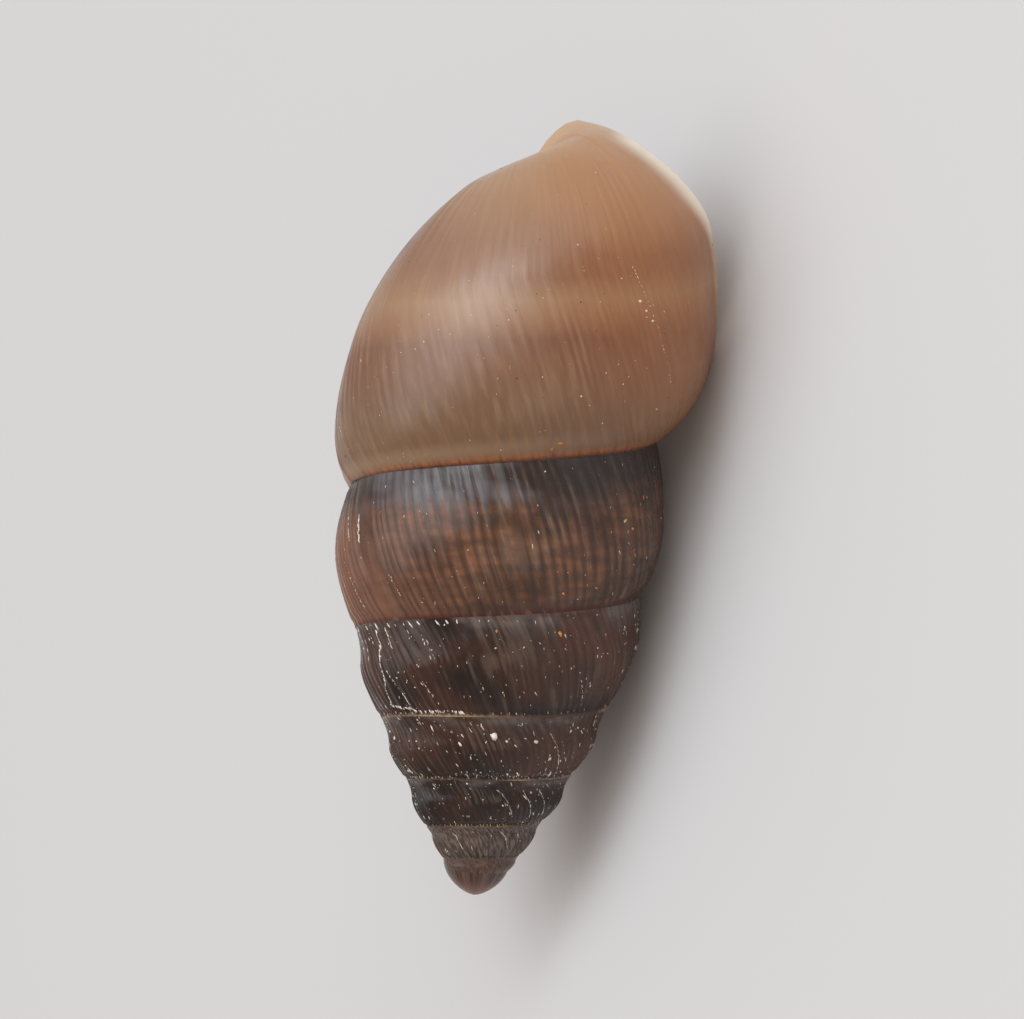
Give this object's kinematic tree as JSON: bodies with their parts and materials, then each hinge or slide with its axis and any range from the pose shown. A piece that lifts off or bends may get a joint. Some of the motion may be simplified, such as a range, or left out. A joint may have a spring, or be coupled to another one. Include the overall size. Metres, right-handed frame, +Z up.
{
  "type": "land snail shell",
  "caption": "Tall right-handed land snail shell with slanted growth ribs, a large last whorl and a thin flared lip, lying at rest.",
  "frame": {"origin": "centre of the shell's footprint box, on the surface it rests on", "axes": "+Z up, the shell's long axis over Y with the tip towards -Y and the base towards +Y"},
  "size_m": [0.0058, 0.013, 0.0058],
  "materials": {
    "shell": "gloss"
  },
  "bodies": {
    "root": {"shell": "shell"}
  },
  "joints": []
}
